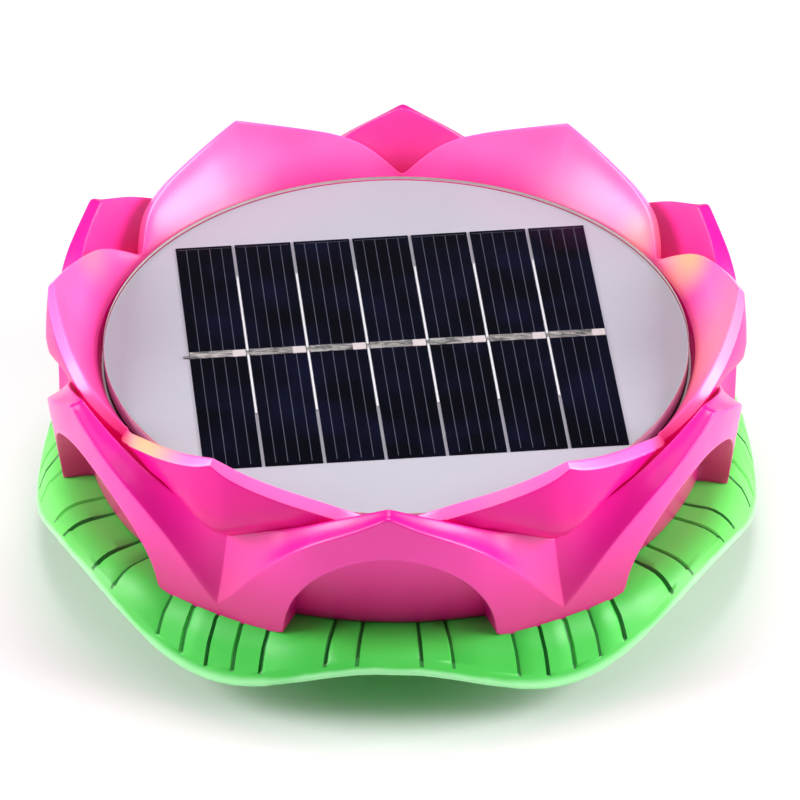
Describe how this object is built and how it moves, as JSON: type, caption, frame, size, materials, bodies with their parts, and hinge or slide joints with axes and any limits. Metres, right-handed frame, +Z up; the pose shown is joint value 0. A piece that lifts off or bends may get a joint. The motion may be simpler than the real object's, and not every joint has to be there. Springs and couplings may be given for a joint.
{
  "type": "floating pool light",
  "caption": "Lotus-shaped solar floating light: two rings of pink petals on a wavy green leaf, a round solar disc on top, and a float hull with a push switch underneath.",
  "frame": {"origin": "middle of the foot ring's lower face, on the flower's axis", "axes": "+Z up along the flower axis, -Y towards the front petal, +X to the right seen from the front"},
  "size_m": [0.1486, 0.1486, 0.0584],
  "materials": {
    "outer_petals": "satin translucent pink",
    "inner_petals": "satin translucent pink",
    "leaf": "satin green",
    "hull": "satin green",
    "frame_white": "moulded white",
    "disc_white": "smooth white",
    "cell": "dark navy silicon",
    "ribbon": "tinned copper",
    "clear": "clear",
    "seal": "soft seal",
    "boot": "soft rubber",
    "steel": "stainless",
    "contact": "nickel plated",
    "terminal": "plated brass",
    "cell_wrap": "shrink sleeve",
    "switch_black": "moulded black",
    "button_white": "moulded white",
    "board": "solder mask",
    "chip": "moulded black",
    "lamp": "clear warm dome",
    "wire_red": "insulation",
    "wire_black": "insulation",
    "wire_yellow": "insulation",
    "wire_white": "insulation"
  },
  "bodies": {
    "light": {"leaf_base": "leaf", "outer_petal_ring": "outer_petals", "inner_petal_ring": "inner_petals", "panel_frame": "frame_white", "float_hull": "hull", "hull_gasket": "seal", "hull_screws": "steel", "battery_door": "hull", "door_gasket": "seal", "door_screws": "steel", "battery_cell": "cell_wrap", "battery_contact_pos": "contact", "battery_contact_neg": "contact", "switch_body": "switch_black", "switch_terminals": "terminal", "return_spring": "steel", "switch_boot": "boot", "control_board": "board", "board_screws": "steel", "leds": "lamp", "driver_chip": "chip", "inductor": "chip", "panel_backboard": "disc_white", "solar_cell_1": "cell", "solar_cell_2": "cell", "solar_cell_3": "cell", "solar_cell_4": "cell", "solar_cell_5": "cell", "solar_cell_6": "cell", "solar_cell_7": "cell", "cell_ribbons": "ribbon", "panel_cover": "clear", "panel_gasket": "seal", "panel_lead_red": "wire_red", "panel_lead_black": "wire_black", "battery_lead_red": "wire_red", "battery_lead_black": "wire_black", "switch_lead_left": "wire_yellow", "switch_lead_right": "wire_white"},
    "button": {"switch_button": "button_white"}
  },
  "joints": [
    {"name": "button_press", "type": "slide", "parent": "light", "child": "button", "axis": [0, 0, 1], "range_m": [0, 0.0012], "stiffness_N_per_m": 900, "springref_m": -0.001, "deforming": ["return_spring", "switch_boot"]}
  ]
}
